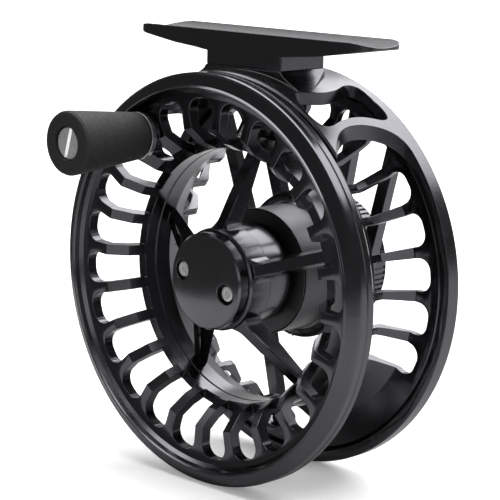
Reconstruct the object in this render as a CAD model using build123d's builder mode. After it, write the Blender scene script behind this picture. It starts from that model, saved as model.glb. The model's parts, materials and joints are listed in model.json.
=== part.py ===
"""Fly reel, 84 mm spool, half-cage frame, disc drag.

The foot lies along X, the handle side faces -Y, +Z is up.  The origin is the middle of the
foot's hollow seat.  Depths called y are measured from the front face of the spool's rim.
"""
import os
from math import cos, radians, sin, tan

from build123d import *

# ---------------------------------------------------------------- driving dimensions, mm
AXLE_Z = -48.4            # axle height below the seat of the foot
FRONT_Y = -16.1           # front face of the spool rim, the foot is centred on Y = 0

RIM_R = 42.0              # spool front rim
RIM_W = 4.0
FLANGE_R = 39.4           # spool rear flange, runs inside the frame ring
SPOOL_W = 27.7
REAR_PLATE = 1.6
OUTER_CREASE_R = 30.8     # the flange dishes inward between these two radii
INNER_CREASE_R = 27.6
DRUM_IN_R = 26.2
DRUM_OUT_R = 28.0
DRUM_Y = 7.6              # where the slats run into the drum, front and back
DRUM_STEP = 14.5          # the drum wall thins behind the spokes
SPOKE_START = 17.5
PLATE = 2.4

SLOT_PITCH = 15.0
SLOT_START = 4.0
REAR_SLOT_START = 5.3
REAR_SLOT_Y = 18.6        # the rear slots run on into the drum from here
SLAT_W = 2.3
REAR_SLAT_IN = 1.2        # the rear slats widen outward
REAR_SLAT_OUT = 2.7
SLOT_OUT_R = 36.8
HANDLE_ANGLE = 124.0
HANDLE_R = 33.4
BALANCE_SLOTS = (19, 20, 21)   # rear slots left solid opposite the handle

HUB_R = 10.2
HUB_COLLAR_R = 10.5
HUB_FRONT = 2.6
HUB_REAR = 14.3
HEX_AF = 10.0
RUN = 0.05                # radial running clearance

CAP_R = 9.9
CAP_DOME = 1.0
CAP_SCREW_R = 6.45
CAP_SCREW_ANGLE = 165.8

SPINDLE_R = 2.5
HOUSING_R = 13.1
HOUSING_FRONT = 15.5
HOUSING_SCREW_R = 11.85
CAVITY_R = 10.6
COLLAR_R = 6.0
JOURNAL_R = 4.6
SLEEVE_AF = 13.0
DISC_START = 17.0
STATOR_T = 0.6
ROTOR_T = 0.8
DISC_GAP = 0.02
DISC_PAIRS = 3

HUB_BACK_R = 15.6         # frame hub
CUP_R = 14.2
HUB_BACK_Y = 24.6
WALL_FRONT = 26.2
WALL_BACK = 29.4
NECK_R = 5.0
NECK_END = 35.6

RING_R = 42.0             # frame ring and the shell that carries the foot
RING_IN_R = 39.7
RING_FRONT = 25.5
RING_BACK = 30.4
WEB_FRONT = 28.2
SHELL_FRONT = 4.4
SEAT_TOP = 42.4           # flat above the axle that the foot is screwed to

KNOB_R = 14.0
KNOB_BACK = 40.0
KNURL_COUNT = 72
PIN_CIRCLE = 9.4

GEAR_TEETH = 36
GEAR_R = 7.6

FOOT_L = 64.2
FOOT_W = 13.0
TROUGH_R = 20.0
FOOT_EDGE = 1.07
PILLAR_X = 21.0
FOOT_SCREW_X = 6.0

HANDLE_END_R = 6.5
HANDLE_BASE_R = 4.9
HANDLE_BASE = -2.0
HANDLE_END = -20.5

AXLE = Axis((0, FRONT_Y, AXLE_Z), (0, 1, 0))
SECTION = Plane(origin=(0, FRONT_Y, AXLE_Z))                       # radius, depth

os.makedirs("parts", exist_ok=True)


def face(y):
    """Plane across the axle at depth y, seen from the handle side."""
    return Plane(origin=(0, FRONT_Y + y, AXLE_Z), x_dir=(1, 0, 0), z_dir=(0, -1, 0))


def side(x):
    """Plane across the foot's length at x, depth to the right, height above the axle up."""
    return Plane(origin=(x, FRONT_Y, AXLE_Z), x_dir=(0, 1, 0), z_dir=(1, 0, 0))


def top(z):
    """Level plane z above the axle, x to the right, depth upward."""
    return Plane(origin=(0, FRONT_Y, AXLE_Z + z))


def polar(radius, angle):
    return radius * cos(radians(angle)), radius * sin(radians(angle))


def ring(name, r_in, r_out, y0, y1):
    """Plain ring about the axle, saved under its name."""
    with BuildPart() as body:
        with BuildSketch(face(y0)):
            Circle(r_out)
            Circle(r_in, mode=Mode.SUBTRACT)
        extrude(amount=-(y1 - y0))
    save(body.part, name)
    return body.part


def turned(points):
    """Solid of revolution about the axle from (radius, depth) points."""
    with BuildPart() as body:
        with BuildSketch(SECTION):
            Polygon(*points, align=None)
        revolve(axis=AXLE)
    return body.part


def save(part, name):
    part.label = name
    export_step(part, f"parts/{name}.step")


def bar(p, q, width):
    """Corner points of a straight bar from p to q."""
    dx, dz = q[0] - p[0], q[1] - p[1]
    length = (dx * dx + dz * dz) ** 0.5
    ox, oz = -dz / length * width / 2, dx / length * width / 2
    return [(p[0] + ox, p[1] + oz), (p[0] - ox, p[1] - oz),
            (q[0] - ox, q[1] - oz), (q[0] + ox, q[1] + oz)]


# ================================================================ spool
def slot(r_in, r_out, slat_in, slat_out):
    """Flange slot between two slats of the given widths at its ends, rounded at its corners."""
    w_in = r_in * tan(radians(SLOT_PITCH / 2)) - slat_in / 2
    w_out = r_out * tan(radians(SLOT_PITCH / 2)) - slat_out / 2
    with BuildSketch() as shape:
        Polygon((r_in, -w_in), (r_out, -w_out), (r_out, w_out), (r_in, w_in), align=None)
        outer = shape.vertices().filter_by_position(Axis.X, r_out - 1, r_out + 1)
        fillet(outer, radius=w_out * 0.72)
        inner = shape.vertices().filter_by_position(Axis.X, r_in - 0.2, r_in + 0.2)
        fillet(inner, radius=w_in * 0.8)
    return shape.sketch


front_slots = [a for a in (SLOT_START + SLOT_PITCH * k for k in range(24)) if abs(a - HANDLE_ANGLE) > 1]
rear_slots = [REAR_SLOT_START + SLOT_PITCH * k for k in range(24) if k not in BALANCE_SLOTS]
front_slot = slot(24.6, SLOT_OUT_R, SLAT_W, SLAT_W)
rear_slot = slot(24.4, SLOT_OUT_R, REAR_SLAT_IN, REAR_SLAT_OUT)
handle_xz = polar(HANDLE_R, HANDLE_ANGLE)


# rounded bead with a thin line turned beside its crest, then the sloping lip
rim = [(37.2, 0.5), (37.9, 0.2), (38.4, -0.6), (38.7, -1.5), (38.95, -1.95), (39.2, -1.9), (39.4, -1.4),
       (39.6, -1.35), (41.5, -0.6), (41.9, -0.3), (RIM_R, 0.1), (RIM_R, 1.5), (41.75, 1.7), (RIM_R, 1.9),
       (RIM_R, 3.2), (41.5, RIM_W), (39.8, RIM_W), (39.2, PLATE + 0.5)]
line_side = [(31.6, PLATE + 0.5), (29.6, 5.2), (DRUM_OUT_R + 0.2, 8.0), (DRUM_OUT_R + 0.2, 14.0),
             (29.0, REAR_SLOT_Y), (29.0, 21.0), (30.2, 22.7), (33.2, SPOOL_W - REAR_PLATE)]
rear_edge = [(38.9, SPOOL_W - REAR_PLATE), (FLANGE_R, SPOOL_W - REAR_PLATE + 0.4), (FLANGE_R, SPOOL_W - 0.5),
             (38.9, SPOOL_W)]
inside = [(33.3, SPOOL_W), (32.6, SPOOL_W - 0.4), (29.3, 24.4), (28.0, 23.3), (27.65, 22.5),
          (27.65, REAR_SLOT_Y), (DRUM_IN_R, DRUM_STEP)]
groove = [(DRUM_IN_R, 10.8), (DRUM_IN_R + 0.35, 10.6), (DRUM_IN_R, 10.4)]
outside = [(DRUM_IN_R, DRUM_Y - 0.6), (INNER_CREASE_R, 4.0), (OUTER_CREASE_R, 0.5)]


def spoke_section(radius, angle):
    """Trapezoid across a spoke: 2.2 wide in front and 3.5 behind, leaning back with the radius."""
    x, z = polar(radius, angle)
    tangent = (-sin(radians(angle)), 0, cos(radians(angle)))
    plane = Plane(origin=(x, FRONT_Y, AXLE_Z + z), x_dir=tangent, z_dir=(x, 0, z))
    front, back = 3.4 + 0.594 * (radius - 10), 8.0 + 0.411 * (radius - 10)
    with BuildSketch(plane) as section:
        Polygon((-1.1, -front), (1.1, -front), (1.75, -back), (-1.75, -back), align=None)
    return section.sketch


# five spokes leaning back from the hub to the drum, flared where they leave the hub
with BuildPart() as spool_spokes:
    with BuildSketch(face(0)) as spoke_plan:
        Circle(HUB_COLLAR_R - 0.4)
        for k in range(5):
            Polygon(*bar((0, 0), polar(17.0, SPOKE_START + 72 * k), 2.3), align=None)
        roots = [v for v in spoke_plan.vertices() if 9.0 < (v.X ** 2 + v.Y ** 2) ** 0.5 < 11.5]
        fillet(roots, radius=4.2)
        Circle(6.5, mode=Mode.SUBTRACT)
    extrude(amount=-20)
    with BuildSketch(SECTION):
        Polygon((6, 2.7), (10, 3.4), (17, 7.56), (17, 10.8), (10, 8.0), (6, 8.0), align=None)
    revolve(axis=AXLE, mode=Mode.INTERSECT)
    for k in range(5):
        add(loft([spoke_section(9.2, SPOKE_START + 72 * k).face(),
                  spoke_section(26.9, SPOKE_START + 72 * k).face()]))

with BuildPart() as spool:
    with BuildSketch(SECTION):
        Polygon(*rim, *line_side, *rear_edge, *inside, *groove, *outside, align=None)
    revolve(axis=AXLE)
    with BuildSketch(face(-1)):
        for angle in front_slots:
            add(front_slot, rotation=angle)
    extrude(amount=-(DRUM_Y + 1), mode=Mode.SUBTRACT)
    with BuildSketch(face(REAR_SLOT_Y)):
        for angle in rear_slots:
            add(rear_slot, rotation=angle)
    extrude(amount=-(SPOOL_W - REAR_SLOT_Y + 1), mode=Mode.SUBTRACT)
    # pad for the handle, with a weight-saving hole between pad and drum
    with BuildSketch(face(-0.7)):
        with Locations(handle_xz):
            Circle(4.3)
    extrude(amount=-4.6)
    with BuildSketch(face(-1)):
        with Locations(handle_xz):
            Circle(1.5)
        with Locations(polar(28.8, HANDLE_ANGLE)):
            Circle(1.65)
    extrude(amount=-9, mode=Mode.SUBTRACT)
    add(spool_spokes.part)
    # hub tube
    with BuildSketch(SECTION):
        Polygon((2.6, 5.7), (2.6, 7.0), (4.6, 7.0), (4.6, 15.0), (7.0, 15.0), (7.0, HUB_REAR),
                (HUB_R - 0.3, HUB_REAR), (HUB_R, HUB_REAR - 0.3), (HUB_R, 8.4),
                (HUB_COLLAR_R, 8.0), (HUB_COLLAR_R, 3.0), (10.1, HUB_FRONT), (5.0, HUB_FRONT),
                (5.0, 5.7), align=None)
    revolve(axis=AXLE)
    with BuildSketch(face(7.0)):
        RegularPolygon(HEX_AF / 2 + RUN, 6, major_radius=False)
    extrude(amount=-9, mode=Mode.SUBTRACT)
    with BuildSketch(face(HUB_FRONT)):
        with PolarLocations(CAP_SCREW_R, 2, CAP_SCREW_ANGLE):
            Circle(0.8)
    extrude(amount=-4.0, mode=Mode.SUBTRACT)
save(spool.part, "spool")

with BuildPart() as spool_cap:
    with BuildSketch(SECTION):
        with BuildLine():
            Line((0, 3.6), (0, -CAP_DOME))
            ThreePointArc((0, -CAP_DOME), (5.2, -CAP_DOME * 0.72), (9.5, 0.0))
            Polyline((9.5, 0.0), (CAP_R, 0.4), (CAP_R, HUB_FRONT), (4.9, HUB_FRONT), (4.9, 4.85),
                     (3.2, 4.85), (3.2, 3.6), (0, 3.6))
        make_face()
    revolve(axis=AXLE)
    with BuildSketch(face(-2)):
        with PolarLocations(CAP_SCREW_R, 2, CAP_SCREW_ANGLE):
            Circle(2.1)
    extrude(amount=-3.1, mode=Mode.SUBTRACT)
    with BuildSketch(face(-2)):
        with PolarLocations(CAP_SCREW_R, 2, CAP_SCREW_ANGLE):
            Circle(0.8)
    extrude(amount=-6, mode=Mode.SUBTRACT)
save(spool_cap.part, "spool_cap")

with BuildPart() as cap_screws:
    with BuildSketch(face(0.0)):
        with PolarLocations(CAP_SCREW_R, 2, CAP_SCREW_ANGLE):
            Circle(1.5)
    extrude(amount=-1.1)
    with BuildSketch(face(1.1)):
        with PolarLocations(CAP_SCREW_R, 2, CAP_SCREW_ANGLE):
            Circle(0.8)
    extrude(amount=-4.9)
    with BuildSketch(face(0.0)):
        with PolarLocations(CAP_SCREW_R, 2, CAP_SCREW_ANGLE):
            RegularPolygon(0.75, 6)
    extrude(amount=-0.7, mode=Mode.SUBTRACT)
save(cap_screws.part, "cap_screws")

with BuildPart() as latch_clip:
    with BuildSketch(face(4.9)):
        RectangleRounded(5.2, 8.0, 1.6)
        RectangleRounded(3.9, 6.6, 1.2, mode=Mode.SUBTRACT)
    extrude(amount=-0.8)
save(latch_clip.part, "latch_clip")

# ================================================================ handle
HANDLE_PLANE = Plane(origin=(handle_xz[0], FRONT_Y, AXLE_Z + handle_xz[1]))
HANDLE_AXIS = Axis((handle_xz[0], FRONT_Y, AXLE_Z + handle_xz[1]), (0, 1, 0))


def turned_on_handle(points):
    with BuildPart() as body:
        with BuildSketch(HANDLE_PLANE):
            Polygon(*points, align=None)
        revolve(axis=HANDLE_AXIS)
    return body.part


handle_knob = turned_on_handle([
    (2.45, HANDLE_BASE), (HANDLE_BASE_R - 0.4, HANDLE_BASE), (HANDLE_BASE_R, HANDLE_BASE - 0.5),
    (HANDLE_END_R - 0.05, HANDLE_END + 1.6), (HANDLE_END_R, HANDLE_END + 0.7),
    (HANDLE_END_R - 0.25, HANDLE_END + 0.15), (HANDLE_END_R - 0.8, HANDLE_END),
    (3.5, HANDLE_END), (3.5, HANDLE_END + 2.4), (2.45, HANDLE_END + 2.4)])
save(handle_knob, "handle_knob")

handle_sleeve = turned_on_handle([
    (1.85 + RUN, HANDLE_BASE), (2.45, HANDLE_BASE), (2.45, HANDLE_END + 2.4),
    (1.85 + RUN, HANDLE_END + 2.4)])
save(handle_sleeve, "handle_sleeve")

with BuildPart() as handle_post:
    with BuildSketch(HANDLE_PLANE):
        Polygon((0, HANDLE_END + 0.5), (3.1, HANDLE_END + 0.5), (3.3, HANDLE_END + 0.8),
                (3.3, HANDLE_END + 2.0), (1.85, HANDLE_END + 2.0), (1.85, -0.7), (1.5, -0.7),
                (1.5, 3.9), (0, 3.9), align=None)
    revolve(axis=HANDLE_AXIS)
    with BuildSketch(face(HANDLE_END)):
        with Locations(handle_xz):
            Rectangle(0.8, 8, rotation=-16)
    extrude(amount=-1.3, mode=Mode.SUBTRACT)
save(handle_post.part, "handle_post")

handle_washer = turned_on_handle([(1.86, -1.9), (HANDLE_BASE_R, -1.9), (HANDLE_BASE_R, -0.7), (1.86, -0.7)])
save(handle_washer, "handle_washer")

head_washer = turned_on_handle([
    (1.86, HANDLE_END + 2.05), (3.2, HANDLE_END + 2.05), (3.2, HANDLE_END + 2.35),
    (1.86, HANDLE_END + 2.35)])
save(head_washer, "head_washer")

# ================================================================ drag hub and what turns with it
with BuildPart() as drag_hub:
    with BuildSketch(SECTION):
        Polygon((3.5, 7.3), (4.8, 7.3), (4.8, 15.1), (COLLAR_R, 15.1), (COLLAR_R, 16.8),
                (JOURNAL_R, 16.8), (JOURNAL_R, 24.6), (4.5, 24.6), (4.5, 26.0), (3.5, 26.0),
                align=None)
    revolve(axis=AXLE)
    with BuildSketch(face(7.3)):
        RegularPolygon(HEX_AF / 2, 6, major_radius=False)
        Circle(3.5, mode=Mode.SUBTRACT)
    extrude(amount=-7.6)
save(drag_hub.part, "drag_hub")

ring("hub_bush_front", SPINDLE_R + 0.03, 3.5, 7.3, 11.3)
ring("hub_bush_rear", SPINDLE_R + 0.03, 3.5, 22.0, 26.0)
ring("clutch_shell", 5.45, 5.9, 17.3, 21.0)

with BuildPart() as clutch_rollers:
    with BuildSketch(face(17.6)):
        with PolarLocations(5.025, 12):
            Circle(0.415)
    extrude(amount=-3.0)
save(clutch_rollers.part, "clutch_rollers")

with BuildPart() as rotor_sleeve:
    with BuildSketch(face(16.9)):
        RegularPolygon(SLEEVE_AF / 2, 6, major_radius=False)
        Circle(5.9, mode=Mode.SUBTRACT)
    extrude(amount=-4.3)
save(rotor_sleeve.part, "rotor_sleeve")

pair = STATOR_T + ROTOR_T + 2 * DISC_GAP
with BuildPart() as brake_stators:
    for k in range(DISC_PAIRS):
        with BuildSketch(face(DISC_START + k * pair)):
            Circle(10.45)
            with PolarLocations(10.6, 4, 45):
                Rectangle(1.0, 2.2)
            Circle(7.9, mode=Mode.SUBTRACT)
        extrude(amount=-STATOR_T)
save(brake_stators.part, "brake_stators")

with BuildPart() as brake_rotors:
    for k in range(DISC_PAIRS):
        with BuildSketch(face(DISC_START + STATOR_T + DISC_GAP + k * pair)):
            Circle(10.2)
            RegularPolygon(SLEEVE_AF / 2, 6, major_radius=False, mode=Mode.SUBTRACT)
        extrude(amount=-ROTOR_T)
save(brake_rotors.part, "brake_rotors")

stack_end = DISC_START + DISC_PAIRS * pair
ring("pressure_plate", 7.9, 10.4, stack_end, 22.3)

with BuildPart() as click_gear:
    with BuildSketch(face(24.9)):
        Circle(GEAR_R)
        with PolarLocations(GEAR_R + 0.25, GEAR_TEETH, 270):
            RegularPolygon(0.75, 3, rotation=180, mode=Mode.SUBTRACT)
        Circle(4.5, mode=Mode.SUBTRACT)
    extrude(amount=-0.9)
save(click_gear.part, "click_gear")

# ================================================================ drag housing, fixed to the frame
with BuildPart() as drag_housing:
    with BuildSketch(SECTION):
        with BuildLine():
            Polyline((CAVITY_R, HUB_BACK_Y), (CAVITY_R, 16.7), (6.3, 16.7), (6.3, 16.4), (7.0, 16.4),
                     (7.0, 15.7), (6.3, 15.7), (6.3, HOUSING_FRONT), (HOUSING_R - 0.3, HOUSING_FRONT),
                     (HOUSING_R, HOUSING_FRONT + 0.3), (HOUSING_R, HUB_BACK_Y), (CAVITY_R, HUB_BACK_Y))
        make_face()
    revolve(axis=AXLE)
    with BuildSketch(face(16.7)):
        with PolarLocations(10.7, 4, 45):
            Rectangle(1.1, 2.3)
    extrude(amount=-(HUB_BACK_Y - 16.7), mode=Mode.SUBTRACT)
    with BuildSketch(face(21.6)):
        with PolarLocations(HOUSING_SCREW_R, 3, 60):
            Circle(0.8)
    extrude(amount=-4, mode=Mode.SUBTRACT)
save(drag_housing.part, "drag_housing")

with BuildPart() as housing_seal:
    with BuildSketch(SECTION):
        with Locations((6.4, 16.05)):
            Circle(0.34)
    revolve(axis=AXLE)
save(housing_seal.part, "housing_seal")

with BuildPart() as housing_screws:
    with BuildSketch(face(22.0)):
        with PolarLocations(HOUSING_SCREW_R, 3, 60):
            Circle(0.8)
    extrude(amount=-6.2)
    with BuildSketch(face(28.0)):
        with PolarLocations(HOUSING_SCREW_R, 3, 60):
            Circle(1.5)
    extrude(amount=-1.2)
    with BuildSketch(face(28.6)):
        with PolarLocations(HOUSING_SCREW_R, 3, 60):
            RegularPolygon(0.8, 6)
    extrude(amount=-0.6, mode=Mode.SUBTRACT)
save(housing_screws.part, "housing_screws")

# ================================================================ frame
# paired bars of the back, (inner end, outer end) on one side; the other side mirrors them
bars = [((12.9, -9.0), (25.2, 31.0)), ((7.15, 8.0), (14.3, 35.4)), ((14.2, -6.0), (5.4, -38.6))]
BAR_W = 2.95

with BuildPart() as back_web:
    with BuildSketch(face(20)):
        Circle(39.8)
        Circle(37.3, mode=Mode.SUBTRACT)
        for p, q in bars:
            Polygon(*bar(p, q, BAR_W), align=None)
            Polygon(*bar((-p[0], p[1]), (-q[0], q[1]), BAR_W), align=None)
        Circle(39.8, mode=Mode.INTERSECT)
        Circle(15.0)
        Circle(14.6, mode=Mode.SUBTRACT)
    extrude(amount=-20)
    with BuildSketch(SECTION):
        Polygon((14.0, 29.4), (37.3, WEB_FRONT), (40.5, WEB_FRONT), (40.5, RING_BACK), (37.3, RING_BACK),
                (14.0, 32.0), align=None)
    revolve(axis=AXLE, mode=Mode.INTERSECT)

# flat pad under the foot, flaring down to the shell towards the front
with BuildPart() as foot_pad:
    with BuildSketch(face(16.1 - FOOT_W / 2)):
        Polygon((-PILLAR_X / 2, SEAT_TOP), (PILLAR_X / 2, SEAT_TOP), (11.2, 41.5), (13.0, 40.4), (16.4, 38.7),
                (16.4, 38.0), (-16.4, 38.0), (-16.4, 38.7), (-13.0, 40.4), (-11.2, 41.5), align=None)
    extrude(amount=-FOOT_W)
    with BuildSketch(top(37)):
        Polygon((-16.4, 9.6), (16.4, 9.6), (16.4, 12.6), (PILLAR_X / 2, 22.6), (-PILLAR_X / 2, 22.6),
                (-16.4, 12.6), align=None)
    extrude(amount=8, mode=Mode.INTERSECT)

window = [(15.8, 9.4), (16.4, 12.7), (16.75, 15.5), (16.6, 18.0), (16.2, 20.2), (15.3, 22.6), (15.0, 24.4),
          (15.7, 26.0), (17.4, 26.4), (20.5, 26.1), (23.6, 26.0), (25.1, 25.3), (25.5, 24.0), (25.0, 21.6),
          (24.35, 19.0), (24.15, 16.4), (24.35, 13.4), (24.8, 11.2), (25.4, 8.8), (25.1, 6.7), (23.6, 5.7),
          (20.5, 5.9), (17.4, 7.2)]

with BuildPart() as frame:
    # ring and shell
    with BuildSketch(SECTION):
        Polygon((RING_IN_R, SHELL_FRONT), (41.6, SHELL_FRONT), (RING_R, SHELL_FRONT + 0.4),
                (RING_R, 28.5), (41.2, 29.5), (40.2, RING_BACK), (37.6, RING_BACK), (37.3, 30.1),
                (37.3, WEB_FRONT), (RING_IN_R, WEB_FRONT), align=None)
    revolve(axis=AXLE)
    add(foot_pad.part)
    with BuildSketch(face(SHELL_FRONT)):
        Circle(RING_IN_R)
    extrude(amount=-(WEB_FRONT - SHELL_FRONT), mode=Mode.SUBTRACT)
    # the cage is open below the arched edge
    with BuildSketch(top(-50)):
        with Locations((0, (RING_FRONT + 4) / 2)):
            Rectangle(100, RING_FRONT - 4)
    extrude(amount=65, mode=Mode.SUBTRACT)
    for s in (1, -1):
        with BuildSketch(top(10)):
            with BuildLine():
                Spline((31.4 * s, 4.0), (29.06 * s, 6.3), (26.95 * s, 9.6), (26.0 * s, 13.2),
                       (26.0 * s, 16.6), (27.1 * s, 21.2), (28.9 * s, 24.2), (31.6 * s, RING_FRONT))
                Polyline((31.6 * s, RING_FRONT), (46 * s, RING_FRONT), (46 * s, 4.0), (31.4 * s, 4.0))
            make_face()
        extrude(amount=40, mode=Mode.SUBTRACT)
        # three-cornered window beside the foot
        with BuildSketch(top(20)):
            with BuildLine():
                Spline(*[(x * s, y) for x, y in window], periodic=True)
            make_face()
        extrude(amount=30, mode=Mode.SUBTRACT)
    add(back_web.part)
    # hub: cup for the knob, wall, neck for the spindle
    with BuildSketch(SECTION):
        with BuildLine():
            Polyline((SPINDLE_R, NECK_END), (SPINDLE_R, WALL_FRONT), (8.3, WALL_FRONT), (8.3, HUB_BACK_Y),
                     (HOUSING_R, HUB_BACK_Y))
            ThreePointArc((HOUSING_R, HUB_BACK_Y), (13.9, 26.1), (HUB_BACK_R, 26.8))
            Polyline((HUB_BACK_R, 26.8), (HUB_BACK_R, 31.8), (15.1, 32.4), (CUP_R, 32.4), (CUP_R, WALL_BACK),
                     (NECK_R, WALL_BACK), (NECK_R, NECK_END), (SPINDLE_R, NECK_END))
        make_face()
    revolve(axis=AXLE)
    with BuildSketch(face(WALL_FRONT)):
        Circle(4.45)
    extrude(amount=-1.1, mode=Mode.SUBTRACT)
    with BuildSketch(face(HUB_BACK_Y)):
        with PolarLocations(PIN_CIRCLE, 3, 0):
            Circle(0.8 + RUN)
        with PolarLocations(HOUSING_SCREW_R, 3, 60):
            Circle(0.8)
    extrude(amount=-6, mode=Mode.SUBTRACT)
    with BuildSketch(face(28.0)):
        with PolarLocations(HOUSING_SCREW_R, 3, 60):
            Circle(1.55)
    extrude(amount=-2, mode=Mode.SUBTRACT)
    with BuildSketch(face(27.4)):
        with Locations((0, 11.8)):
            Circle(0.95)
    extrude(amount=-3, mode=Mode.SUBTRACT)
    # radial bore for the click plunger
    with BuildSketch(top(-15.6)):
        with Locations((0, 25.4)):
            Circle(0.7 + RUN)
    extrude(amount=9, mode=Mode.SUBTRACT)
    # countersunk holes for the foot screws
    with BuildSketch(top(36)):
        with Locations((-FOOT_SCREW_X, 16.1), (FOOT_SCREW_X, 16.1)):
            Circle(1.5)
    extrude(amount=8, mode=Mode.SUBTRACT)
    with BuildSketch(top(36)):
        with Locations((-FOOT_SCREW_X, 16.1), (FOOT_SCREW_X, 16.1)):
            Circle(2.8)
    extrude(amount=4.6, mode=Mode.SUBTRACT)
save(frame.part, "frame")

with BuildPart() as foot_screws:
    with BuildSketch(top(39.5)):
        with Locations((-FOOT_SCREW_X, 16.1), (FOOT_SCREW_X, 16.1)):
            Circle(2.7)
            RegularPolygon(1.0, 6, mode=Mode.SUBTRACT)
    extrude(amount=1.1)
    with BuildSketch(top(40.6)):
        with Locations((-FOOT_SCREW_X, 16.1), (FOOT_SCREW_X, 16.1)):
            Circle(1.5)
    extrude(amount=5.4)
save(foot_screws.part, "foot_screws")

SEAT_Z = -AXLE_Z
with BuildPart() as reel_foot:
    # wedge-ended plate, seen from the front
    with BuildSketch(face(16.1 - FOOT_W / 2)):
        with Locations((0, SEAT_Z)):
            Polygon((-FOOT_L / 2, FOOT_EDGE), (FOOT_L / 2, FOOT_EDGE), (FOOT_L / 2, -0.55), (20, -2.3),
                    (11.6, -3.0), (-11.6, -3.0), (-20, -2.3), (-FOOT_L / 2, -0.55), align=None)
    extrude(amount=-FOOT_W)
    ends = reel_foot.edges().filter_by(Axis.Z).filter_by_position(Axis.Z, -1, 1)
    fillet(ends, radius=4.0)
    # pillar
    with BuildSketch(top(SEAT_TOP)):
        with Locations((0, 16.1)):
            RectangleRounded(PILLAR_X, FOOT_W, 0.6)
    extrude(amount=SEAT_Z - SEAT_TOP - 2.0)
    # hollow seat
    with BuildSketch(side(0)):
        with Locations((16.1, SEAT_Z + TROUGH_R)):
            Circle(TROUGH_R)
    extrude(amount=FOOT_L, both=True, mode=Mode.SUBTRACT)
    with BuildSketch(top(SEAT_TOP)):
        with Locations((-FOOT_SCREW_X, 16.1), (FOOT_SCREW_X, 16.1)):
            Circle(1.5)
    extrude(amount=3.6, mode=Mode.SUBTRACT)
save(reel_foot.part, "reel_foot")

# ================================================================ spindle
spindle = turned([
    (0, 4.0), (2.0, 4.0), (SPINDLE_R, 4.4), (SPINDLE_R, 4.8), (1.9, 4.8), (1.9, 5.8),
    (SPINDLE_R, 5.8), (SPINDLE_R, 26.05), (4.4, 26.05), (4.4, 27.3), (SPINDLE_R, 27.3),
    (SPINDLE_R, 38.3), (0, 38.3)])
save(spindle, "spindle")

with BuildPart() as spindle_nut:
    with BuildSketch(face(36.3)):
        RegularPolygon(4.0, 6, major_radius=False)
        Circle(SPINDLE_R, mode=Mode.SUBTRACT)
    extrude(amount=-1.9)
save(spindle_nut.part, "spindle_nut")
ring("knob_washer", SPINDLE_R, 6.4, NECK_END, 36.3)

# ================================================================ drag adjustment
with BuildPart() as drag_knob:
    with BuildSketch(SECTION):
        Polygon((NECK_R + RUN, 31.8), (10.45, 31.8), (10.45, 29.8), (13.0, 29.8), (13.3, 34.2),
                (KNOB_R, 35.6), (KNOB_R, 39.2), (13.2, KNOB_BACK), (9.0, KNOB_BACK), (8.0, 39.6),
                (8.0, 38.6), (7.4, 38.6), (7.4, 35.5), (NECK_R + RUN, 35.5), align=None)
    revolve(axis=AXLE)
    with BuildSketch(face(35.7)):
        with PolarLocations(KNOB_R, KNURL_COUNT):
            Rectangle(0.7, 0.55)
    extrude(amount=-3.4, mode=Mode.SUBTRACT)
    with BuildSketch(SECTION):
        Polygon((10.9, 29.7), (12.7, 29.7), (12.7, 30.3), (10.9, 30.3), align=None)
    revolve(axis=AXLE, mode=Mode.SUBTRACT)
save(drag_knob.part, "drag_knob")
ring("knob_cover", 0.0001, 8.0, 38.65, 39.6)

with BuildPart() as detent_ball:
    with Locations((0, FRONT_Y + 29.3, AXLE_Z + 11.8)):
        Sphere(0.9)
save(detent_ball.part, "detent_ball")

ring("drag_nut", NECK_R + 0.4, 10.4, 30.0, 31.2)
with BuildPart() as push_pins:
    with BuildSketch(face(24.4)):
        with PolarLocations(PIN_CIRCLE, 3, 0):
            Circle(0.8)
    extrude(amount=-5.6)
save(push_pins.part, "push_pins")
ring("thrust_ring", 8.5, 10.4, 23.6, 24.4)

with BuildPart() as drag_springs:
    with BuildSketch(SECTION):
        Polygon((8.2, 22.35), (10.3, 22.75), (10.3, 23.0), (8.2, 22.6), align=None)
        Polygon((10.3, 23.02), (8.2, 23.32), (8.2, 23.57), (10.3, 23.27), align=None)
    revolve(axis=AXLE)
save(drag_springs.part, "drag_springs")

# ================================================================ click
with BuildPart() as click_plunger:
    with BuildSketch(top(-11.6)):
        with Locations((0, 25.4)):
            Circle(0.7)
    extrude(amount=3.6)
    with BuildSketch(top(-8.0)):
        with Locations((0, 25.4)):
            Circle(0.3)
    extrude(amount=0.45)
save(click_plunger.part, "click_plunger")

with BuildPart() as click_spring:
    with BuildLine(top(-15.3)) as coil:
        Helix(pitch=0.75, height=3.4, radius=0.45, center=(0, 25.4, 0))
    with BuildSketch(Plane(origin=coil.line @ 0, z_dir=coil.line % 0)):
        Circle(0.14)
    sweep(is_frenet=True)
save(click_spring.part, "click_spring")
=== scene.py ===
import json
import math

import bmesh
import bpy
from mathutils import Matrix, Vector
from mathutils.bvhtree import BVHTree
from mathutils.geometry import barycentric_transform


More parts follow.
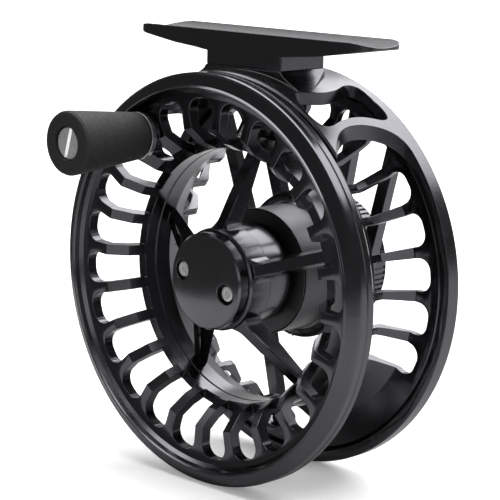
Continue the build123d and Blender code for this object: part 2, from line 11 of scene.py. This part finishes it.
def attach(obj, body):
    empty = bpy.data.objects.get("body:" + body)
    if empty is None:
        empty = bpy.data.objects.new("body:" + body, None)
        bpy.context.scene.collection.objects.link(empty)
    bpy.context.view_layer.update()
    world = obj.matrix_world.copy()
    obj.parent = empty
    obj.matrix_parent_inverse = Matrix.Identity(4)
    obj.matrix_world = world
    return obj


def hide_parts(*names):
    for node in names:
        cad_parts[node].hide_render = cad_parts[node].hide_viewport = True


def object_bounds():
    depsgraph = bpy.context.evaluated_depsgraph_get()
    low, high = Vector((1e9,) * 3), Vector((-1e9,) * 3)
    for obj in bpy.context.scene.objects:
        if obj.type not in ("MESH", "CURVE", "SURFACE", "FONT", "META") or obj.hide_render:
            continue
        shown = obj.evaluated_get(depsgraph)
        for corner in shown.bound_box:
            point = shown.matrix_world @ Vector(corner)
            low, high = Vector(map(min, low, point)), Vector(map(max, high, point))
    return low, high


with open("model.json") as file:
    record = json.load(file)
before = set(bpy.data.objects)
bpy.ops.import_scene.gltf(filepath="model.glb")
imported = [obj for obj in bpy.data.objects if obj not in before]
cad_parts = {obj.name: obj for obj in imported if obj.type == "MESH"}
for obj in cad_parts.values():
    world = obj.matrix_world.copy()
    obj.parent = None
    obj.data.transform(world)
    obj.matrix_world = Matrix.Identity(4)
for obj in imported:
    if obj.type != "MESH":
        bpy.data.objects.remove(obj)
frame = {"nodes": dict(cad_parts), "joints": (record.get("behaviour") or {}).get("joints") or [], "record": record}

CAD_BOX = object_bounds()
MM = 0.001
JOINTS = {joint["name"]: joint for joint in frame["joints"]}
AXLE = Vector(JOINTS["spool_spin"]["pos_m"])     # on the axle, in the plane of the front rim
SLOT_OF = {part["node"]: part["material_slot"] for part in frame["record"]["subparts"]}
BODY_OF = {node: body for body, nodes in frame["record"]["behaviour"]["bodies"].items() for node in nodes}

WELD = 0.002 * MM                # points closer than this are one point
FLAT = math.radians(0.4)         # neighbouring faces within this angle are one face
CORNER = math.radians(28)        # edges sharper than this are broken
CREASE = math.radians(32)        # edges sharper than this stay sharp in the shading
ON_SURFACE = 0.97                # cosine from which a face lies on the CAD surface under it
SAME_FACET = 0.9                 # cosine from which a sample lies on the same CAD face
SAME_SIDE = 0.5                  # cosine from which a CAD normal can shade a face
SAMPLE_STEP = 0.02 * MM          # samples are taken this far inside a face's corners

AZIMUTH = math.radians(44.694)   # of the camera, from -Y towards +X
ELEVATION = math.radians(11.140)
ROLL = math.radians(0.927)
RIM_RADIUS = 42.0 * MM
FOCAL = 136.71                   # millimetres, on a sensor of SENSOR
SENSOR = 36.0


# ---------------------------------------------------------------- node materials
class Nodes:
    """A material's node tree, with a short way to add and link nodes."""

    def __init__(self, name):
        self.material = bpy.data.materials.new(name)
        self.material.use_nodes = True
        self.tree = self.material.node_tree
        self.tree.nodes.clear()
        self.shader = self.add("ShaderNodeBsdfPrincipled")
        output = self.add("ShaderNodeOutputMaterial")
        self.link(self.shader.outputs["BSDF"], output.inputs["Surface"])

    def add(self, kind, inputs=None, **settings):
        node = self.tree.nodes.new(kind)
        for key, value in settings.items():
            setattr(node, key, value)
        for key, value in (inputs or {}).items():
            self.put(node.inputs[key], value)
        return node

    def put(self, socket, value):
        if isinstance(value, bpy.types.NodeSocket):
            self.link(value, socket)
        else:
            socket.default_value = value

    def link(self, output, socket):
        self.tree.links.new(output, socket)

    def set(self, **values):
        for key, value in values.items():
            self.put(self.shader.inputs[key.replace("_", " ")], value)

    def math(self, operation, *values):
        node = self.add("ShaderNodeMath", operation=operation)
        for socket, value in zip(node.inputs, values):
            self.put(socket, value)
        return node.outputs[0]

    def place(self):
        """Where a point lies in the piece's own frame, in metres."""
        return self.add("ShaderNodeTexCoord").outputs["Object"]

    def noise(self, scale, detail=2.0):
        node = self.add("ShaderNodeTexNoise", {"Scale": scale, "Detail": detail, "Vector": self.place()})
        return node.outputs["Fac"]

    def ramp(self, value, low, high, out_low, out_high):
        node = self.add("ShaderNodeMapRange", {"Value": value, "From Min": low, "From Max": high,
                                               "To Min": out_low, "To Max": out_high})
        return node.outputs["Result"]

    def mix(self, factor, first, second):
        node = self.add("ShaderNodeMix", data_type="RGBA")
        self.put(node.inputs["Factor"], factor)
        self.put(node.inputs["A"], (*first, 1.0) if isinstance(first, tuple) else first)
        self.put(node.inputs["B"], (*second, 1.0) if isinstance(second, tuple) else second)
        return node.outputs["Result"]

    def bump(self, height, strength, distance):
        node = self.add("ShaderNodeBump", {"Height": height, "Strength": strength, "Distance": distance})
        return node.outputs["Normal"]

    def rings(self, pitch):
        """A wave of lathe rings about the axle."""
        parts = self.add("ShaderNodeSeparateXYZ", {"Vector": self.place()})
        dx = self.math("SUBTRACT", parts.outputs["X"], AXLE.x)
        dz = self.math("SUBTRACT", parts.outputs["Z"], AXLE.z)
        squares = self.math("ADD", self.math("MULTIPLY", dx, dx), self.math("MULTIPLY", dz, dz))
        radius = self.math("SQRT", squares)
        return self.math("SINE", self.math("MULTIPLY", radius, 2 * math.pi / pitch))


def anodised(name, dark, light, roughness, turned=0.0):
    """Black anodised aluminium: dark and glossy, a little uneven, with a fine grain and lathe rings."""
    n = Nodes(name)
    n.set(Base_Color=n.mix(n.noise(90.0, 3.0), dark, light), Metallic=1.0)
    n.set(Roughness=n.ramp(n.noise(340.0, 3.0), 0.3, 0.7, roughness - 0.02, roughness + 0.03))
    height = n.noise(3000.0, 2.0)
    if turned:
        height = n.math("ADD", n.math("MULTIPLY", n.rings(0.3 * MM), turned), height)
    n.set(Normal=n.bump(height, 0.05, 0.00001))
    return n.material


def steel(name, colour, roughness, turned=0.0, metallic=1.0, painted_glow=0.0):
    """Turned and polished stainless steel. A glow, when given, is white emission: a painted highlight."""
    n = Nodes(name)
    shade = tuple(c * 0.82 for c in colour)
    n.set(Base_Color=n.mix(n.noise(700.0, 3.0), shade, colour), Metallic=metallic)
    # white emission: a painted highlight where a glow is given, none by default
    n.set(Emission_Color=(1.0, 1.0, 1.0, 1.0), Emission_Strength=painted_glow)
    n.set(Roughness=n.ramp(n.noise(1500.0, 2.0), 0.3, 0.7, roughness - 0.03, roughness + 0.04))
    height = n.noise(3000.0, 1.0)
    if turned:
        height = n.math("ADD", n.math("MULTIPLY", n.rings(0.12 * MM), turned), height)
    n.set(Normal=n.bump(height, 0.06, 0.00001))
    return n.material


def grip_rubber(name):
    """Soft-touch grip: dark, dry, with a fine blasted grain."""
    n = Nodes(name)
    speck = n.noise(2600.0, 4.0)
    n.set(Base_Color=n.mix(speck, (0.014, 0.014, 0.015), (0.04, 0.04, 0.042)), Metallic=0.0, IOR=1.36)
    n.set(Roughness=n.ramp(n.noise(900.0, 3.0), 0.3, 0.7, 0.62, 0.78))
    n.set(Normal=n.bump(n.math("ADD", speck, n.noise(1100.0, 2.0)), 0.55, 0.00012))
    return n.material


def polymer(name, dark, light, roughness):
    """Moulded plastic or rubber, faintly mottled."""
    n = Nodes(name)
    n.set(Base_Color=n.mix(n.noise(500.0, 3.0), dark, light), Metallic=0.0, IOR=1.5)
    n.set(Roughness=n.ramp(n.noise(1300.0, 2.0), 0.3, 0.7, roughness - 0.05, roughness + 0.05))
    n.set(Normal=n.bump(n.noise(3000.0, 2.0), 0.2, 0.00005))
    return n.material


def carbon(name):
    """Woven carbon discs: crossed bands under a thin resin."""
    n = Nodes(name)
    parts = n.add("ShaderNodeSeparateXYZ", {"Vector": n.place()})
    pitch = 2 * math.pi / (1.2 * MM)
    across = n.math("SINE", n.math("MULTIPLY", parts.outputs["X"], pitch))
    along = n.math("SINE", n.math("MULTIPLY", parts.outputs["Z"], pitch))
    weave = n.ramp(n.math("MULTIPLY", across, along), -0.2, 0.2, 0.0, 1.0)
    n.set(Base_Color=n.mix(weave, (0.012, 0.012, 0.013), (0.05, 0.05, 0.055)), Metallic=0.0, IOR=1.55)
    n.set(Roughness=n.ramp(weave, 0.0, 1.0, 0.35, 0.5), Normal=n.bump(weave, 0.3, 0.00004))
    return n.material


def brass(name):
    """Turned bronze with lathe rings."""
    n = Nodes(name)
    n.set(Base_Color=n.mix(n.noise(400.0, 3.0), (0.46, 0.31, 0.13), (0.66, 0.50, 0.26)), Metallic=1.0)
    n.set(Roughness=n.ramp(n.noise(1500.0, 2.0), 0.3, 0.7, 0.24, 0.36))
    n.set(Normal=n.bump(n.rings(0.15 * MM), 0.15, 0.00003))
    return n.material


FINISHES = {
    "spool_anodised": anodised("spool_black", (0.095, 0.095, 0.104), (0.125, 0.125, 0.136), 0.21, 0.3),
    "frame_anodised": anodised("frame_black", (0.100, 0.100, 0.108), (0.130, 0.130, 0.140), 0.25),
    "cap_anodised": anodised("cap_black", (0.140, 0.140, 0.150), (0.170, 0.170, 0.182), 0.19, 0.3),
    "screw_steel": steel("bright_steel", (0.86, 0.85, 0.84), 0.30, metallic=0.6),
    "spindle_steel": steel("ground_steel", (0.60, 0.60, 0.60), 0.30, 0.6),
    "grip_black": grip_rubber("soft_grip"),
    "bush_polymer": polymer("bush_white", (0.62, 0.60, 0.53), (0.72, 0.70, 0.63), 0.45),
    "rotor_carbon": carbon("woven_carbon"),
    "seal_rubber": polymer("seal_black", (0.015, 0.015, 0.015), (0.03, 0.03, 0.03), 0.6),
    "bronze": brass("turned_bronze"),
}
# nodes whose finish differs from the rest of their material slot
SPECIAL = {
    "drag_housing": anodised("housing_black", (0.105, 0.105, 0.112), (0.130, 0.130, 0.138), 0.48, 0.3),
    "handle_washer": steel("knurled_steel", (0.52, 0.52, 0.53), 0.30),
}
# white, faintly glowing finish: a painted highlight for the walls of the driver slot
SLOT_PAINTED_HIGHLIGHT = steel("slot_painted_highlight", (0.99, 0.99, 0.99), 0.50, metallic=0.0, painted_glow=0.35)


def finish_of(node):
    return SPECIAL.get(node) or FINISHES[SLOT_OF[node]]


# ---------------------------------------------------------------- meshes
def smooth_like_cad(mesh, source):
    """Shade the mesh with the CAD surface's own normals, and blend them across the broken edges."""
    source.calc_loop_triangles()
    triangles = source.loop_triangles
    points = [v.co.copy() for v in source.vertices]
    exact = [corner.vector.copy() for corner in source.corner_normals]
    tree = BVHTree.FromPolygons(points, [tuple(t.vertices) for t in triangles])

    def surface_normal(point):
        place, _, index, _ = tree.find_nearest(point)
        t = triangles[index]
        corners = [points[i] for i in t.vertices]
        return barycentric_transform(place, *corners, *[exact[i] for i in t.loops]), t.normal

    normals = [None] * len(mesh.loops)
    at_vertex = [[] for _ in mesh.vertices]
    broken = []
    for polygon in mesh.polygons:
        if surface_normal(polygon.center)[1].dot(polygon.normal) < ON_SURFACE:
            broken.append(polygon)
            continue
        for loop in polygon.loop_indices:
            vertex = mesh.loops[loop].vertex_index
            point = mesh.vertices[vertex].co
            inward = polygon.center - point
            step = min(SAMPLE_STEP, 0.3 * inward.length)
            normal, facet = surface_normal(point + inward.normalized() * step)
            if facet.dot(polygon.normal) < SAME_FACET or normal.dot(polygon.normal) < SAME_SIDE:
                normal = polygon.normal.copy()
            normals[loop] = normal.normalized()
            at_vertex[vertex].append(normals[loop])
    between = {}
    for polygon in broken:
        for vertex in polygon.vertices:
            between[vertex] = between.get(vertex, Vector()) + polygon.normal
    for polygon in broken:
        for loop in polygon.loop_indices:
            vertex = mesh.loops[loop].vertex_index
            beside = at_vertex[vertex]
            if beside:
                normals[loop] = max(beside, key=polygon.normal.dot)
            else:
                normals[loop] = between[vertex].normalized()
    mesh.normals_split_custom_set(normals)


def softened(node, name, width, segments=2):
    """The node's shape as one welded mesh with its edges broken by a small radius."""
    source = frame["nodes"][node]
    shape = bmesh.new()
    shape.from_mesh(source.data)
    bmesh.ops.remove_doubles(shape, verts=shape.verts, dist=WELD)
    bmesh.ops.dissolve_limit(shape, angle_limit=FLAT, use_dissolve_boundaries=False,
                             verts=shape.verts, edges=shape.edges)
    bmesh.ops.recalc_face_normals(shape, faces=shape.faces)
    hard = [e for e in shape.edges if e.is_manifold and e.calc_face_angle() > CORNER]
    bmesh.ops.bevel(shape, geom=hard, offset=width, offset_type="OFFSET", segments=segments, profile=0.5,
                    affect="EDGES", clamp_overlap=False, miter_outer="SHARP", miter_inner="SHARP")
    for edge in shape.edges:
        edge.smooth = not (edge.is_manifold and edge.calc_face_angle() > CREASE)
    for polygon in shape.faces:
        polygon.smooth = True
    mesh = bpy.data.meshes.new(name)
    shape.to_mesh(mesh)
    shape.free()
    smooth_like_cad(mesh, source.data)
    piece = bpy.data.objects.new(name, mesh)
    bpy.context.scene.collection.objects.link(piece)
    return piece


def finish_nodes():
    """Each CAD node gets the finish of its material slot, or its own."""
    for name, node in frame["nodes"].items():
        node.data.materials.clear()
        node.data.materials.append(finish_of(name))


def refine(node, name, width, segments=2):
    """A piece with softened edges in place of a CAD node."""
    piece = softened(node, name, width, segments)
    piece.data.materials.append(finish_of(node))
    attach(piece, BODY_OF[node])
    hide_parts(node)
    return piece


def paint_slot_highlight(piece):
    """The walls of the driver slot in the post's head get a painted highlight: a white finish with a faint glow.
    """
    slot_depth, head_inside = 0.95 * MM, 2.9 * MM
    piece.data.materials.append(SLOT_PAINTED_HIGHLIGHT)
    points = [v.co for v in piece.data.vertices]
    front = min(p.y for p in points)
    axis_x = (min(p.x for p in points) + max(p.x for p in points)) / 2
    axis_z = (min(p.z for p in points) + max(p.z for p in points)) / 2
    for face in piece.data.polygons:
        depth = face.center.y - front
        off_axis = math.hypot(face.center.x - axis_x, face.center.z - axis_z)
        is_wall = abs(face.normal.y) < 0.5
        if is_wall and 0.1 * MM < depth < slot_depth and off_axis < head_inside:
            # these slot walls take the painted highlight
            face.material_index = 1


finish_nodes()
refine("spool", "spool_turned", 0.14 * MM)
refine("frame", "frame_machined", 0.14 * MM)
refine("reel_foot", "foot_machined", 0.2 * MM)
refine("drag_knob", "knob_turned", 0.06 * MM)
refine("drag_housing", "housing_turned", 0.3 * MM, 3)
paint_slot_highlight(refine("handle_post", "post_turned", 0.08 * MM))
refine("handle_washer", "washer_turned", 0.15 * MM)
refine("cap_screws", "cap_screw_heads", 0.12 * MM)
refine("spool_cap", "cap_turned", 0.12 * MM)

# ---------------------------------------------------------------- floor, light, camera
FLOOR_Z = CAD_BOX[0].z
AWAY = Vector((-math.sin(AZIMUTH), math.cos(AZIMUTH), 0.0))     # along the floor, as the camera looks
RIGHT = Vector((math.cos(AZIMUTH), math.sin(AZIMUTH), 0.0))


def on_floor(right, away, height=0.0):
    """A place given as the camera sees it, from the point of the floor under the origin."""
    place = RIGHT * right + AWAY * away
    return Vector((place.x, place.y, FLOOR_Z + height))


def pale_floor():
    """White floor that shades softly under the reel, and stays grey in its reflections."""
    mesh = bpy.data.meshes.new("floor")
    corners = [(-0.13, -0.30), (1.6, -0.30), (1.6, 2.4), (-0.9, 2.4), (-0.13, 0.25)]
    mesh.from_pydata([on_floor(*c) for c in corners], [], [tuple(range(len(corners)))])
    floor = bpy.data.objects.new("floor", mesh)
    bpy.context.scene.collection.objects.link(floor)
    n = Nodes("pale_floor")
    direct = n.mix(n.noise(4.0, 2.0), (0.90, 0.90, 0.90), (0.92, 0.92, 0.92))
    seen = n.add("ShaderNodeLightPath").outputs["Is Camera Ray"]
    n.set(Base_Color=n.mix(seen, (0.42, 0.42, 0.42), direct), Roughness=0.9)
    n.set(Emission_Color=(1.0, 1.0, 1.0, 1.0), Emission_Strength=n.math("MULTIPLY", seen, 0.20))
    mesh.materials.append(n.material)


def softbox(name, place, aim, size, radiance):
    """Rectangular area light: size in metres, radiance as seen from in front."""
    light = bpy.data.lights.new(name, "AREA")
    light.shape = "RECTANGLE"
    light.size, light.size_y = size
    light.energy = radiance * math.pi * size[0] * size[1]
    lamp = bpy.data.objects.new(name, light)
    lamp.location = place
    lamp.rotation_mode = "QUATERNION"
    lamp.rotation_quaternion = (Vector(aim) - Vector(place)).to_track_quat("-Z", "Y")
    bpy.context.scene.collection.objects.link(lamp)
    return lamp


def studio():
    """White sweep seen directly, dark room in reflections, and soft light from all round."""
    world = bpy.data.worlds.new("studio")
    world.use_nodes = True
    tree = world.node_tree
    tree.nodes.clear()
    seen = tree.nodes.new("ShaderNodeBackground")
    seen.inputs["Color"].default_value = (1.0, 1.0, 1.0, 1.0)
    seen.inputs["Strength"].default_value = 1.1
    room = tree.nodes.new("ShaderNodeBackground")
    room.inputs["Color"].default_value = (1.0, 1.0, 1.0, 1.0)
    room.inputs["Strength"].default_value = 0.10
    choose = tree.nodes.new("ShaderNodeMixShader")
    path = tree.nodes.new("ShaderNodeLightPath")
    output = tree.nodes.new("ShaderNodeOutputWorld")
    tree.links.new(path.outputs["Is Camera Ray"], choose.inputs[0])
    tree.links.new(room.outputs[0], choose.inputs[1])
    tree.links.new(seen.outputs[0], choose.inputs[2])
    tree.links.new(choose.outputs[0], output.inputs["Surface"])
    bpy.context.scene.world = world
    softbox("overhead", on_floor(0.45, 0.45, 1.0), on_floor(0.45, 0.4501, 0.0), (1.9, 1.9), 4.0)
    softbox("behind", on_floor(0.1, 1.5, 0.45), on_floor(0.0, 0.0, 0.1), (3.0, 0.8), 0.6)
    softbox("front", on_floor(0.35, -1.3, 0.45), on_floor(0.0, 0.0, 0.05), (0.9, 0.7), 0.9)
    fill = softbox("fill", on_floor(-0.9, -0.9, 0.7), on_floor(0.0, 0.0, 0.05), (1.2, 1.2), 1.2)
    fill.visible_glossy = False
    bpy.context.scene.view_settings.view_transform = "Standard"


def camera():
    """In front of the reel on its +X side and a little above it, looking just past the axle."""
    distance, past_right, past_up = 9.0805 * RIM_RADIUS, 0.215 * RIM_RADIUS, 0.151 * RIM_RADIUS
    back = Vector((math.sin(AZIMUTH) * math.cos(ELEVATION), -math.cos(AZIMUTH) * math.cos(ELEVATION),
                   math.sin(ELEVATION)))
    level = (-back).cross(Vector((0, 0, 1))).normalized()
    upright = level.cross(-back)
    right = level * math.cos(ROLL) + upright * math.sin(ROLL)
    up = upright * math.cos(ROLL) - level * math.sin(ROLL)
    data = bpy.data.cameras.new("camera")
    data.sensor_width = SENSOR
    data.lens = FOCAL
    data.clip_start = 0.01
    data.clip_end = 20.0
    lens = bpy.data.objects.new("camera", data)
    turn = Matrix((right, up, back)).transposed().to_4x4()
    place = AXLE + back * distance + right * past_right + up * past_up
    lens.matrix_world = Matrix.Translation(place) @ turn
    bpy.context.scene.collection.objects.link(lens)
    bpy.context.scene.camera = lens


pale_floor()
studio()
camera()
